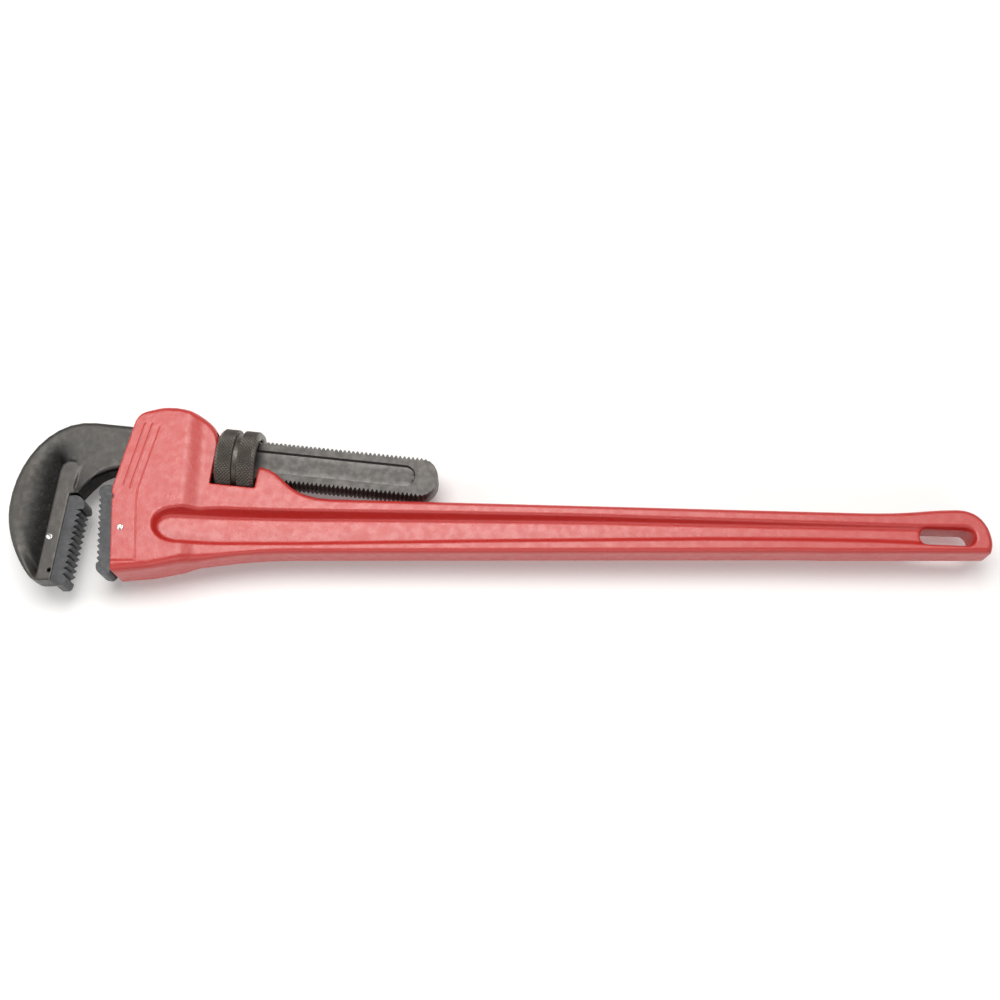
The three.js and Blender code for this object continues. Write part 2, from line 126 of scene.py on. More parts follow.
# ---------------------------------------------------------------- outlines
def bezier(points, steps=10):
    """Points of a quadratic or cubic curve after its first one."""
    out = []
    for k in range(1, steps + 1):
        p, t = [np.array(q, float) for q in points], k / steps
        while len(p) > 1:
            p = [(1 - t) * a + t * b for a, b in zip(p, p[1:])]
        out.append(tuple(p[0]))
    return out


def outline(start, *moves):
    """A closed outline: a move of one point is a straight line, of two or three a curve."""
    points = [start]
    for move in moves:
        points += [move[0]] if len(move) == 1 else bezier([points[-1], *move])
    return points


def body_outline():
    """The handle's casting at its widest, anticlockwise from the front lower corner."""
    return outline(
        (-551, -50),
        [(-551.3, -54)],
        [(-551.5, -61), (-544, -61.3)],
        [(-500, -57.5), (-468, -50.5), (-440, -44.9)],
        [(-395, -36.5), (-350, -31.6), (-290, -31.4)],
        [(430, -30.6)],
        [(520, -31.0), (590, -47.6), (664, -47.6)],
        [(690, -48.1), (706, -34), (706, -14)],
        [(706, 12), (692, 35.5), (660, 35.5)],
        [(610, 35.5), (600, 29), (522, 30.8)],
        [(145, 41.2)],
        [(-87, 47.6)],
        [(-245, 52)],
        [(-320, 54.5), (-310, 102.5), (-358, 102.5)],
        [(-400, 104)],
        [(-412, 140)],
        [(-416, 172), (-450, 193), (-489, 193)],
        [(-508, 193), (-530, 186), (-536, 169)],
        [(-549, 112)],
        [(-558, 72)],
        [(-560, 64), (-559.5, 58)],
    )


def pocket_outline():
    """The floor of the I-section's long pocket, from the housing to past the hanging slot."""
    return outline(
        (-466, -12.5),
        [(-286, -12.5)],
        [(0, -9.4)],
        [(300, -7.6)],
        [(500, -8.9), (570, -12.8), (600, -15.5)],
        [(669, -18.6)],
        [(681, -17.5), (681, 3), (669, 4.6)],
        [(600, 5.4)],
        [(290, 13.6)],
        [(145, 17.9)],
        [(0, 21), (-200, 23.6), (-290, 24.5)],
        [(-400, 27)],
        [(-430, 27.6), (-474, 26)],
        [(-500, 24), (-500, -11), (-466, -12.5)],
    )


def on_shank(s, t):
    """A point of the shank's frame, s along its axis and t across, in the wrench's frame."""
    c, q = math.cos(SHANK_TILT), math.sin(SHANK_TILT)
    return SHANK_AT[0] + c * s + q * t, SHANK_AT[1] - q * s + c * t


def seam_point(y, offset=0.0):
    """A point at height y on the line where the hook and its insert meet, moved along X by offset."""
    f = (y - SEAM_TOP[1]) / (SEAM_LOW[1] - SEAM_TOP[1])
    return SEAM_TOP[0] + f * (SEAM_LOW[0] - SEAM_TOP[0]) + offset, y


def hook_outline():
    """The hook and the plain start of its shank."""
    return outline(
        on_shank(THREAD_FROM + 2, CREST_R),
        [(-600, 174)],
        [(-667, 181.5), (-712.5, 113), (-712.5, 42)],
        [(-712.5, 2), (-692, -38), (-672, -62)],
        [(-666, -69), (-656, -70)],
        [seam_point(-69.5)],
        [seam_point(61)],
        [(-614, 62)],
        [(-604, 75), (-590, 96), (-556, 99.8)],
        [on_shank(THREAD_FROM + 2, -CREST_R)],
    )


def tooth_row(x, y, lean, pitch, depth, side):
    """A row of teeth from its first tip on, each with a steep and a long flank and a small flat tip."""
    a = math.radians(lean)
    along = np.array([-math.sin(a), -math.cos(a)])
    out = np.array([-along[1], along[0]]) * side
    points = []
    for i in range(TEETH):
        tip = np.array([x, y]) + i * pitch * along
        points.append(tip - 0.3 * pitch * along - depth * out)
        points.append(tip - 0.05 * pitch * along)
        points.append(tip + 0.06 * pitch * along)
        points.append(tip + 0.64 * pitch * along - depth * out)
    return [[tuple(p)] for p in points]


def insert_outline():
    return outline(
        seam_point(-69, 0.35),
        [seam_point(57, 0.35)],
        [(-618, 58)],
        [(-610, 58), (-602.4, 52), (-601.5, 44)],
        [(-601.2, 40), (-602.8, 37.5)],
        *tooth_row(-605.8, 32.5, 5.6, 8.9, 6.3, 1),
        [(-615.5, -66.5)],
        [(-616.5, -77), (-622, -77)],
        [(-630, -77)],
    )


def heel_outline():
    return outline(
        (-533.4, 74),
        [(-572, 74)],
        [(-583.5, 74), (-583, 62)],
        *tooth_row(-581.7, 51, -4, 8.8, 3.4, -1),
        [(-575.6, -45)],
        [(-577, -61.5), (-560, -62)],
        [(-553.6, -61), (-552.6, -50.6)],
        [(-524.4, -50.6)],
    )


# ---------------------------------------------------------------- level sets
class Grid:
    """Sample points given as one rising array per axis; x, y and z broadcast against each other."""

    def __init__(self, xs, ys, zs):
        self.axes = [np.asarray(a, np.float32) for a in (xs, ys, zs)]
        self.x = self.axes[0][:, None, None]
        self.y = self.axes[1][None, :, None]
        self.z = self.axes[2][None, None, :]


def spaced(*runs):
    """Rising samples from runs of (from, to, step), each run starting where the one before ends."""
    parts = [np.linspace(a, b, max(2, round((b - a) / step) + 1))[:-1] for a, b, step in runs]
    return np.concatenate([*parts, [runs[-1][1]]])


def inside_of(points, x, y):
    """Signed distance to a closed outline in the plane, negative inside."""
    nearest = np.full(np.broadcast(x, y).shape, 1e9, np.float32)
    inside = np.zeros(nearest.shape, bool)
    for (ax, ay), (bx, by) in zip(points, points[1:] + points[:1]):
        dx, dy = bx - ax, by - ay
        if dx * dx + dy * dy < 1e-9:
            continue
        t = np.clip(((x - ax) * dx + (y - ay) * dy) / (dx * dx + dy * dy), 0, 1)
        nearest = np.minimum(nearest, (x - ax - t * dx) ** 2 + (y - ay - t * dy) ** 2)
        if dy:
            inside ^= ((ay > y) != (by > y)) & (x < ax + (y - ay) * dx / dy)
    return np.where(inside, -1, 1) * np.sqrt(nearest)


def smooth(value, start, end):
    """0 at start, 1 at end, with a soft rise between."""
    t = np.clip((value - start) / (end - start), 0, 1)
    return t * t * (3 - 2 * t)


def both(a, b, r):
    """Where both fields are inside, with the edge between them rounded by about r."""
    return np.maximum(a, b) + np.maximum(r - np.abs(a - b), 0) ** 2 / (4 * r)


def cut(a, b, r):
    """Field a less field b, with the edge between them rounded by about r."""
    return both(a, -b, r)


def plane(field):
    """A field over x and y, ready to combine with one over x, y and z."""
    return field[:, :, None]


def line(distance, width):
    """1 on a line and 0 beyond width from it."""
    return 1 - smooth(distance, 0.3, width)


def slab(edge, face, ry, rz):
    """A slab from the distances to its outline and to its faces, its border an ellipse of ry by rz."""
    u = np.maximum(edge / ry + 1, 0)
    v = np.maximum(face / rz + 1, 0)
    return (np.hypot(u, v) - 1) * np.minimum(ry, rz)


def capsule(a, b, x, y):
    """Distance to the segment from a to b."""
    dx, dy = b[0] - a[0], b[1] - a[1]
    t = np.clip(((x - a[0]) * dx + (y - a[1]) * dy) / (dx * dx + dy * dy), 0, 1)
    return np.hypot(x - a[0] - t * dx, y - a[1] - t * dy)


def surface(grid, field):
    """The zero level of a field as (points, quads), with one point in each cell that it crosses."""
    low = field < 0
    nx, ny, nz = field.shape
    cells = np.zeros((nx - 1, ny - 1, nz - 1), np.uint8)
    corners = [(i, j, k) for i in (0, 1) for j in (0, 1) for k in (0, 1)]
    for i, j, k in corners:
        cells += low[i : nx - 1 + i, j : ny - 1 + j, k : nz - 1 + k]
    at = np.argwhere((cells > 0) & (cells < 8))
    index = np.full(cells.shape, -1, np.int32)
    index[tuple(at.T)] = np.arange(len(at))

    total = np.zeros((len(at), 3))
    count = np.zeros(len(at))
    for c in corners:
        for axis in range(3):
            if c[axis]:
                continue
            p = at + np.array(c)
            q = p.copy()
            q[:, axis] += 1
            a, b = field[tuple(p.T)], field[tuple(q.T)]
            crossed = (a < 0) != (b < 0)
            t = np.where(crossed, a / np.where(crossed, a - b, 1), 0)
            for d in range(3):
                value = grid.axes[d][p[:, d]]
                if d == axis:
                    value = value + t * (grid.axes[d][q[:, d]] - value)
                total[:, d] += np.where(crossed, value, 0)
            count += crossed

    quads = []
    for axis in range(3):
        u, v = (axis + 1) % 3, (axis + 2) % 3
        ahead = np.roll(low, -1, axis)
        crossed = low != ahead
        crossed[tuple(slice(-1, None) if d == axis else slice(None) for d in range(3))] = False
        for d in (u, v):
            crossed[tuple(slice(0, 1) if e == d else slice(None) for e in range(3))] = False
            crossed[tuple(slice(-1, None) if e == d else slice(None) for e in range(3))] = False
        p = np.argwhere(crossed)
        around = []
        for du, dv in ((1, 1), (0, 1), (0, 0), (1, 0)):
            c = p.copy()
            c[:, u] -= du
            c[:, v] -= dv
            around.append(index[tuple(c.T)])
        quad = np.stack(around, 1)
        flip = ~low[tuple(p.T)]
        quad[flip] = quad[flip][:, ::-1]
        quads.append(quad)
    return total / count[:, None], np.concatenate(quads)


# ---------------------------------------------------------------- meshes
def placed(points):
    """Points in mm in the wrench's frame, in metres in the part's frame."""
    return np.asarray(points, float) * MM + np.array(ORIGIN)


def added(name, data):
    """A new object in the scene with this data."""
    obj = bpy.data.objects.new(name, data)
    bpy.context.collection.objects.link(obj)
    return obj


def new_piece(name, points, faces):
    """An object with a mesh given in mm in the wrench's frame, shaded smooth."""
    mesh = bpy.data.meshes.new(name)
    mesh.from_pydata(placed(points).tolist(), [], [list(map(int, f)) for f in faces])
    mesh.validate()
    mesh.polygons.foreach_set("use_smooth", [True] * len(mesh.polygons))
    mesh.update()
    return added(name, mesh)


def applied(obj):
    """Turns the object's modifiers into mesh."""
    depsgraph = bpy.context.evaluated_depsgraph_get()
    mesh = bpy.data.meshes.new_from_object(obj.evaluated_get(depsgraph))
    obj.modifiers.clear()
    obj.data = mesh
    return obj


def softened(obj, width, angle=28):
    """Bevels by width, in mm, the object's edges that are sharper than the angle, in degrees."""
    bevel = obj.modifiers.new("edges", "BEVEL")
    bevel.width = width * MM
    bevel.segments = 2
    bevel.limit_method = "ANGLE"
    bevel.angle_limit = math.radians(angle)
    bevel.use_clamp_overlap = True
    return applied(obj)


def sharpened(obj, angle):
    """Shades smooth but for edges sharper than the angle, in degrees."""
    obj.data.set_sharp_from_angle(angle=math.radians(angle))
    return obj


def loft(rings, closed=False):
    """(points, faces) of a tube through rings of equally many points, closed or with flat ends."""
    rings = np.asarray(rings, float)
    n, m = rings.shape[:2]
    points = rings.reshape(-1, 3)
    faces = []
    for i in range(n if closed else n - 1):
        j = (i + 1) % n
        for k in range(m):
            l = (k + 1) % m
            faces.append((i * m + k, i * m + l, j * m + l, j * m + k))
    if not closed:
        faces.append(tuple(range(m))[::-1])
        faces.append(tuple(range((n - 1) * m, n * m)))
    return points, faces


def extruded(points, half):
    """(points, faces) of an outline as a plate with |z| < half."""
    ring = np.array(points, float)
    low = np.column_stack([ring, np.full(len(ring), -half)])
    high = np.column_stack([ring, np.full(len(ring), half)])
    return loft([low, high])


def lathed(profile, sides, centre):
    """(points, faces) of a closed profile of (radius, along) turned about the centre, along Z."""
    angles = np.linspace(0, 2 * math.pi, sides, endpoint=False)
    r, a = np.array(profile, float).T
    rings = np.stack([np.column_stack([r * math.cos(w), r * math.sin(w), a]) for w in angles])
    points, faces = loft(rings, closed=True)
    return points + np.array(centre), faces


# ---------------------------------------------------------------- handle casting
def housing_half(x, y):
    """Half thickness: the housing's side, a cove down to the part beside the nut, then the handle."""
    half = HEAD_HALF - (HEAD_HALF - REAR_HALF) * smooth(x, STEP_FROM, STEP_TO)
    half = half - (REAR_HALF - BEAM_HALF) * smooth(x, REAR_FROM, REAR_TO)
    # a fine groove behind and below the front lip, and two narrow ribs on the lip
    ends = smooth(np.abs(y - 58), 104, 100)
    half = half - GROOVE_DEPTH * line(np.abs(x - np.interp(y, *LIP_GROOVE)), 1.3) * ends
    half = half - GROOVE_DEPTH * line(capsule(*LIP_FOOT, x, y), 1.3)
    for a, b in LIP_RIBS:
        half = half + RIB_HEIGHT * (1 - smooth(capsule(a, b, x, y), 0.4, 1.8))
    return half


def pocket(x, y, z):
    """The long pocket: its web thickens to the grip and into the housing, and its walls lean out."""
    grown = np.clip((x - WEB_FROM) / (WEB_TO - WEB_FROM), 0, 1)
    web = WEB_HALF + WEB_TO_GRIP * grown + WEB_TO_HOUSING * smooth(-x, 395, 505)
    middle = np.interp(x, (-450, 600), (6, -5))
    upper_lean = UPPER_LEAN + UPPER_TO_GRIP * grown + UPPER_TO_HOUSING * smooth(-x, 330, 470)
    lean = LEAN + upper_lean * smooth(y - middle, -16, 12)
    rise = z - plane(web)
    walls = plane(inside_of(pocket_outline(), x, y)) - plane(lean) * rise
    return both(walls * 0.85, -rise, 4.5)


def handle_body():
    # fine steps over the housing, coarse ones along the handle
    grid = Grid(
        spaced((-566, -498, 0.75), (-498, -395, 1.25), (-395, -240, 1.8), (-240, 560, 4), (560, 714, 1.8)),
        spaced((-68, 70, 1.25), (70, 199, 1.5)),
        spaced((-37, 37, 1.25)),
    )
    x, y, z = grid.x, grid.y, np.abs(grid.z)
    x2, y2 = x[:, :, 0], y[:, :, 0]
    face = z - plane(housing_half(x2, y2))

    # the border is rounded, nearly sharp at the front and most along the housing's underside
    near_front = smooth(x2 - np.interp(y2, *FRONT_EDGE), 2, 26)
    beam = smooth(x2, -450, -370)
    round_y, round_z = 2 + (7 - beam) * near_front, 2 + (8.5 - beam) * near_front
    body = slab(plane(inside_of(body_outline(), x2, y2)), face, plane(round_y), plane(round_z))
    below = plane(np.interp(x2, *UNDERSIDE) - y2)
    body = np.maximum(body, slab(below, face, plane(14 - 6 * beam), plane(15 - 6 * beam)))
    body = cut(body, pocket(x2, y2, z), 3.5)

    # the shank's way, open above the tongue, and the nut's window
    c, q = math.cos(SHANK_TILT), math.sin(SHANK_TILT)
    dx, dy = x - SHANK_AT[0], y - SHANK_AT[1]
    s, t = c * dx - q * dy, q * dx + c * dy
    way = np.maximum(np.maximum(t - PASSAGE_ROOF, PASSAGE_FLOOR - t), z - PASSAGE_HALF)
    body = cut(body, np.maximum(way, s - PASSAGE_TO), 1.6)
    round_floor = np.where(t < 0, np.hypot(t, z), z) - WINDOW_R
    window = np.maximum(np.maximum(WINDOW_FROM - s, s - WINDOW_TO), round_floor)
    body = cut(body, window, 2.2)

    # the heel jaw's seat and the notch over it, and the hanging slot
    seat = np.maximum(x - np.interp(y, *SEAT_BACK), np.abs(y - SEAT_MID) - SEAT_HALF)
    seat = np.maximum(np.minimum(seat, x - MOUTH), np.maximum(y - SEAT_TOP, z - SEAT_WIDE))
    body = cut(body, seat, 1.2)
    body = cut(body, np.hypot(x - NOTCH_AT[0], y - NOTCH_AT[1]) - NOTCH_R, 1.0)
    body = cut(body, plane(capsule(SLOT_A, SLOT_B, x2, y2) - SLOT_R), 4.5)

    return new_piece("handle_casting", *surface(grid, body))


# ---------------------------------------------------------------- hook forging and shank
def pad_distance(x, y):
    """Distance in the plane from the pad beside the insert, negative on it."""
    return inside_of([(-622.5, 64), (-616.5, 103), (-623, 110), (-632, 112), (-640, 106), (-643, 97),
                      (-658.5, -62), (-655, -69), (-630, -80), (-615, -80)], x, y)


def hook_forging():
    """The hook. Its pad stays flat, and the forging is hollowed around it and thick again at its rim."""
    grid = Grid(spaced((-724, -430, 1.15)), spaced((-78, 182, 1.15)), spaced((-21, 21, 1.0)))
    x, y, z = grid.x, grid.y, np.abs(grid.z)
    x2, y2 = x[:, :, 0], y[:, :, 0]
    edge = inside_of(hook_outline(), x2, y2)
    pad = pad_distance(x2, y2)

    right = smooth(x2 + 0.35 * (y2 - 100), -648, -612)
    around = np.clip(1 - np.maximum(pad, 0) / HOLLOW_REACH, 0, 1)
    hollow = (HOLLOW - (HOLLOW - HOLLOW_RIGHT) * right) * around**1.6 * smooth(pad, -0.8, 4.4)
    arm = smooth(x2, -520, -600)
    shank_step = HOOK_HALF - SHANK_HALF - SHANK_COVER
    half = HOOK_HALF - hollow * smooth(-edge, 0, 16) * arm - shank_step * smooth(x2, -520, -470)

    # the border is nearly sharp at the pad and along the throat, and round elsewhere
    throat = smooth(x2, -625, -612) * smooth(y2, 112, 90)
    border = 1.6 + 5.6 * np.minimum(smooth(pad - 20 * throat, 0.5, 12) + smooth(x2, -560, -520), 1)
    border = border - 2.2 * smooth(x2, -500, -470)
    body = slab(plane(edge), z - plane(half), plane(border), plane(border * 0.9))

    slit = np.maximum(seam_point(0)[0] - SLIT_DEEP - x + SEAM_SLOPE * y, z - SLIT_WIDE)
    slit = np.maximum(slit, np.abs(y - SLIT_MID) - SLIT_REACH)
    body = cut(body, slit, 0.8)
    body = cut(body, np.hypot(x - DRIFT_AT[0], y - DRIFT_AT[1]) - DRIFT_R, 0.8)
    obj = new_piece("hook_forging", *surface(grid, body))

    # painted shade, how dark it is: most in the hollow beside the pad and on the throat's wall, where
    # shade falls
    shade = np.clip(1 - np.maximum(pad, 0) / SHADE_REACH, 0, 1) * smooth(-edge, 2, 26)
    shade = shade * smooth(pad, -0.6, 1.5) * (1 - right)
    wall = smooth(edge, -4.5, -1) * smooth(y2, 118, 106) * smooth(x2, -625, -617)
    shade = np.maximum(shade, 0.8 * wall)
    local = (np.array([v.co[:] for v in obj.data.vertices]) - np.array(ORIGIN)) / MM
    i, j = (np.clip(np.searchsorted(grid.axes[d], local[:, d]), 0, len(grid.axes[d]) - 1) for d in (0, 1))
    # the painted shade goes to the material as a point attribute
    obj.data.attributes.new("painted_shade", "FLOAT", "POINT").data.foreach_set("value", shade[i, j])
    return obj


def thread_radius(s, angle):
    """The shank's radius at s and an angle about its axis: a right-handed thread with narrow flats."""
    if s < THREAD_FROM:
        return np.full(angle.shape, CREST_R)
    phase = ((s - THREAD_FROM) / PITCH - angle / (2 * math.pi)) % 1
    height = np.clip((np.abs(2 * phase - 1) - ROOT_FLAT) / FLANK, 0, 1)
    # the thread runs out into the shank's rounded end
    depth = (CREST_R - ROOT_R) * smooth(s, SHANK_TO - 0.3 * SHANK_DOME, SHANK_TO - 1.1 * SHANK_DOME)
    return CREST_R - depth * (1 - height)


def shank():
    """The flat-sided shank: threaded above and below, a recess along each side, its end rounded."""
    steps_across, steps_to_turn = 13, 12
    across = np.linspace(-SHANK_HALF, SHANK_HALF, steps_across)
    edge_angle = np.arcsin(across / CREST_R)
    samples = spaced((SHANK_FROM, THREAD_FROM, 6), (THREAD_FROM, SHANK_TO - 0.3, PITCH / steps_to_turn))
    rings = []
    for s in samples:
        past = max(0, s - SHANK_TO + SHANK_DOME) / SHANK_DOME
        narrowed = math.sqrt(max(0.004, 1 - past**2))
        upper = thread_radius(s, edge_angle)
        lower = thread_radius(s, math.pi - edge_angle)
        top = np.sqrt(upper**2 - across**2) * narrowed
        low = -np.sqrt(lower**2 - across**2) * narrowed

        # the recess in each side, its end round
        beyond = max(0, s - RECESS["end"] + RECESS["half"])
        w = max(3.0, math.sqrt(max(0, RECESS["half"] ** 2 - beyond**2)))
        side_t = np.array([22, 19, w + 0.6, w - 0.1, w - 0.8, w - 2, w * 0.3])
        side_t = np.concatenate([side_t, [0], -side_t[::-1]])
        side_z = RECESS["depth"] * smooth(RECESS["half"] - np.hypot(beyond, side_t), 0, 1.8)
        ring = [(t, z) for t, z in zip(top, across)]
        ring += [(t * narrowed, SHANK_HALF - z) for t, z in zip(side_t, side_z)]
        ring += [(t, z) for t, z in zip(low[::-1], across[::-1])]
        ring += [(t * narrowed, z - SHANK_HALF) for t, z in zip(side_t[::-1], side_z)]
        rings.append([(*on_shank(s, t), z) for t, z in ring])
    points, faces = loft(rings)
    return sharpened(new_piece("hook_shank", points, [f[::-1] for f in faces]), 33)


# ---------------------------------------------------------------- inserts, pins, nut and springs
def toothed(name, points):
    """A block as thick as the hook, its edges just softened."""
    obj = new_piece(name, *extruded(points, HOOK_HALF))
    return sharpened(softened(obj, 0.45, 20), 12)


def heel_jaw():
    return toothed("heel_jaw_block", heel_outline())


def hook_insert():
    """The toothed block and, behind the seam, the tongue that holds it in the hook's slit."""
    body = toothed("hook_insert_block", insert_outline())
    low, high = seam_point(TONGUE["from"], TONGUE["root"]), seam_point(TONGUE["to"], TONGUE["root"])
    tongue = [low, high, (high[0] - TONGUE["long"], high[1]), (low[0] - TONGUE["long"], low[1])]
    tenon = softened(new_piece("hook_insert_tenon", *extruded(tongue, TONGUE["half"])), 0.4)
    return body, sharpened(tenon, 30)


def pin(name, centre, half):
    """A pin from -half to half along Z, its ends rounded at the rim and shallowly dimpled."""
    end = [(PIN_R, half - 0.7), (PIN_R * 0.96, half - 0.25), (PIN_R * 0.8, half),
           (PIN_R * 0.55, half - 0.1), (PIN_R * 0.3, half - 0.28), (0.02, half - 0.32)]
    profile = [(r, -a) for r, a in end[::-1]] + end
    return sharpened(new_piece(name, *lathed(profile, 32, (*centre, 0))), 40)


def adjusting_nut():
    """Two knurled rings with a smooth groove between. The knurl is a lattice of peaks and valleys."""
    half, r, bore_r, groove_r = NUT["half"], NUT["r"], NUT["bore_r"], NUT["groove_r"]
    face_r, bore_rim, side = r - NUT["chamfer"] + 0.4, bore_r + NUT["bore_chamfer"], NUT["groove_half"]
    around, rows = KNURL["around"], KNURL["rows"]
    start, end = side + 1.6, half - NUT["chamfer"]  # the knurled band, measured from the nut's middle

    def ring(along, radius, knurl_row=None):
        angles = 2 * math.pi * np.arange(around) / around
        rad = np.full(around, radius, float)
        if knurl_row is not None:
            rad -= KNURL["depth"] * ((np.arange(around) + knurl_row) % 2)
        return np.column_stack([rad * np.cos(angles), rad * np.sin(angles), np.full(around, along)])

    def band(first, last):
        return [ring(first + row / (rows - 1) * (last - first), r, row) for row in range(rows)]

    rings = [ring(-half, bore_rim), ring(-half, face_r), ring(-end - 1.0, r - 1.2)]
    left_band = len(rings)
    rings += band(-end, -start)
    for along, radius in ((-start + 0.8, r - 1.3), (-side, groove_r + 0.5), (-side + 0.9, groove_r),
                          (0, groove_r - 0.1), (side - 0.9, groove_r), (side, groove_r + 0.5),
                          (start - 0.8, r - 1.3)):
        rings.append(ring(along, radius))
    right_band = len(rings)
    rings += band(start, end)
    for along, radius in ((end + 1.0, r - 1.2), (half, face_r), (half, bore_rim),
                          (half - NUT["bore_chamfer"], bore_r), (-half + NUT["bore_chamfer"], bore_r)):
        rings.append(ring(along, radius))

    knurl_rows = {first + row: row for first in (left_band, right_band) for row in range(rows - 1)}
    n = len(rings)
    local = np.concatenate(rings)
    faces = []
    for i in range(n):
        j = (i + 1) % n
        for k in range(around):
            m = (k + 1) % around
            a, b, c, d = i * around + k, i * around + m, j * around + m, j * around + k
            if i not in knurl_rows:
                faces.append((a, b, c, d))
            # the quad's diagonal joins its two valleys, so that grooves run straight between the diamonds
            elif (k + knurl_rows[i]) % 2:
                faces += [(a, b, c), (a, c, d)]
            else:
                faces += [(a, b, d), (b, c, d)]
    x, y = on_shank(local[:, 2] + NUT["at"], local[:, 0])
    points = np.column_stack([x, y, local[:, 1]])
    return sharpened(new_piece("nut_knurled", points, faces), 24)


def leaf_spring():
    """The leaf under the shank, bowed down at both ends."""
    rings = []
    for s in np.linspace(LEAF["at"] - LEAF["half"], LEAF["at"] + LEAF["half"], 25):
        f = (s - LEAF["at"]) / LEAF["half"]
        top = LEAF_TOP - LEAF["bow"] * f * f
        low = top - LEAF["thick"]
        tip = LEAF["wide"] * (1 - 0.35 * max(0, abs(f) - 0.8) / 0.2)
        rings.append([(*on_shank(s, t), z) for t, z in ((top, -tip), (top, tip), (low, tip), (low, -tip))])
    points, faces = loft(rings)
    return sharpened(softened(new_piece("leaf_blade", points, faces), 0.35), 30)


def coil():
    """A compression spring with its axis across the shank, under the leaf."""
    turns, steps_to_turn = COIL["turns"], 28
    rings = []
    for k in range(turns * steps_to_turn + 1):
        f = k / (turns * steps_to_turn)
        a = 2 * math.pi * turns * f
        # the end turns lie close, as on a ground spring
        rise = COIL["floor"] + (COIL["roof"] - COIL["floor"]) * (f - 0.09 * math.sin(2 * math.pi * f))
        ring = []
        for w in np.linspace(0, 2 * math.pi, 10, endpoint=False):
            rad = COIL["r"] + COIL["wire"] * math.cos(w)
            x, y = on_shank(COIL["at"] + rad * math.cos(a), rise + COIL["wire"] * math.sin(w))
            ring.append((x, y, rad * math.sin(a)))
        rings.append(ring)
    return new_piece("coil_wire", *loft(rings))


def rivet():
    """The rivet that holds the leaf over the coil: its shaft, and its head below."""
    profile = [(0.02, 0.5), (2.9, 0.5), (2.9, 2.8), (5.2, 2.8), (5.0, 4.2), (3.6, 5.3), (0.02, 5.6)]
    rings = []
    for w in np.linspace(0, 2 * math.pi, 24, endpoint=False):
        ring = [(COIL["at"] + r * math.cos(w), LEAF_TOP - below, r * math.sin(w)) for r, below in profile]
        rings.append([(*on_shank(s, t), z) for s, t, z in ring])
    return sharpened(new_piece("leaf_rivet", *loft(rings, closed=True)), 40)


# ---------------------------------------------------------------- materials
class Shader:
    """A material with one Principled shader. Patterns are measured in metres on the part itself."""

    def __init__(self, name, base_color, **sockets):
        self.material = bpy.data.materials.new(name)
        self.material.use_nodes = True
        self.tree = self.material.node_tree
        self.bsdf = self.tree.nodes["Principled BSDF"]
        self.bsdf.inputs["Base Color"].default_value = (*base_color, 1)
        for socket, value in sockets.items():
            self.bsdf.inputs[socket.replace("_", " ")].default_value = value
        self.place = self.node("ShaderNodeTexCoord").outputs["Object"]

    def node(self, kind, **settings):
        made = self.tree.nodes.new(kind)
        for key, value in settings.items():
            setattr(made, key, value)
        return made

    def link(self, output, socket):
        self.tree.links.new(output, socket)

    def noise(self, size, detail=2.0, roughness=0.5, stretch=(1, 1, 1)):
        """Noise with features of about size metres, stretched along the axes."""
        mapping = self.node("ShaderNodeMapping")
        mapping.inputs["Scale"].default_value = [1 / k for k in stretch]
        self.link(self.place, mapping.inputs["Vector"])
        made = self.node("ShaderNodeTexNoise")
        made.inputs["Scale"].default_value = 1 / size
        made.inputs["Detail"].default_value = detail
        made.inputs["Roughness"].default_value = roughness
        self.link(mapping.outputs["Vector"], made.inputs["Vector"])
        return made.outputs["Fac"]

    def spread(self, value, low, high, to_low=0.0, to_high=1.0):
        """A value from low to high, turned softly into one from to_low to to_high and clamped."""
        made = self.node("ShaderNodeMapRange", interpolation_type="SMOOTHSTEP")
        made.inputs["From Min"].default_value = low
        made.inputs["From Max"].default_value = high
        made.inputs["To Min"].default_value = to_low
        made.inputs["To Max"].default_value = to_high
        self.link(value, made.inputs["Value"])
        return made.outputs["Result"]

    def tint(self, factor, color):
        """Blends the base colour towards color by factor."""
        mix = self.node("ShaderNodeMix", data_type="RGBA")
        socket = self.bsdf.inputs["Base Color"]
        if socket.is_linked:
            self.link(socket.links[0].from_socket, mix.inputs["A"])
        else:
            mix.inputs["A"].default_value = socket.default_value
        mix.inputs["B"].default_value = (*color, 1)
        self.link(factor, mix.inputs["Factor"])
        self.link(mix.outputs["Result"], socket)

    def rough(self, value):
        self.link(value, self.bsdf.inputs["Roughness"])

    def bump(self, value, height):
        """Adds relief of the given height in metres."""
        made = self.node("ShaderNodeBump")
        made.inputs["Distance"].default_value = height
        self.link(value, made.inputs["Height"])
        normal = self.bsdf.inputs["Normal"]
        if normal.is_linked:
            self.link(normal.links[0].from_socket, made.inputs["Normal"])
        self.link(made.outputs["Normal"], normal)

    def edges(self, low, high):
        """Rises where the surface is convex, between two values of pointiness."""
        return self.spread(self.node("ShaderNodeNewGeometry").outputs["Pointiness"], low, high)


def red_enamel():
    m = Shader("red_enamel", (0.52, 0.016, 0.011), Roughness=0.42, Specular_IOR_Level=1.0, Coat_Weight=0.3,
               Coat_Roughness=0.3)
    m.tint(m.spread(m.noise(0.030, 3), 0.35, 0.7, 0, 0.35), (0.47, 0.013, 0.009))
    m.tint(m.spread(m.noise(0.0035, 2), 0.62, 0.72, 0, 0.25), (0.57, 0.028, 0.020))
    m.tint(m.spread(m.noise(0.0022, 1), 0.74, 0.80, 0, 0.5), (0.20, 0.006, 0.005))
    m.rough(m.spread(m.noise(0.012, 3), 0.3, 0.7, 0.36, 0.50))
    m.bump(m.noise(0.0070, 3, 0.6), 0.00050)
    m.bump(m.noise(0.0018, 2, 0.55), 0.00022)
    return m.material


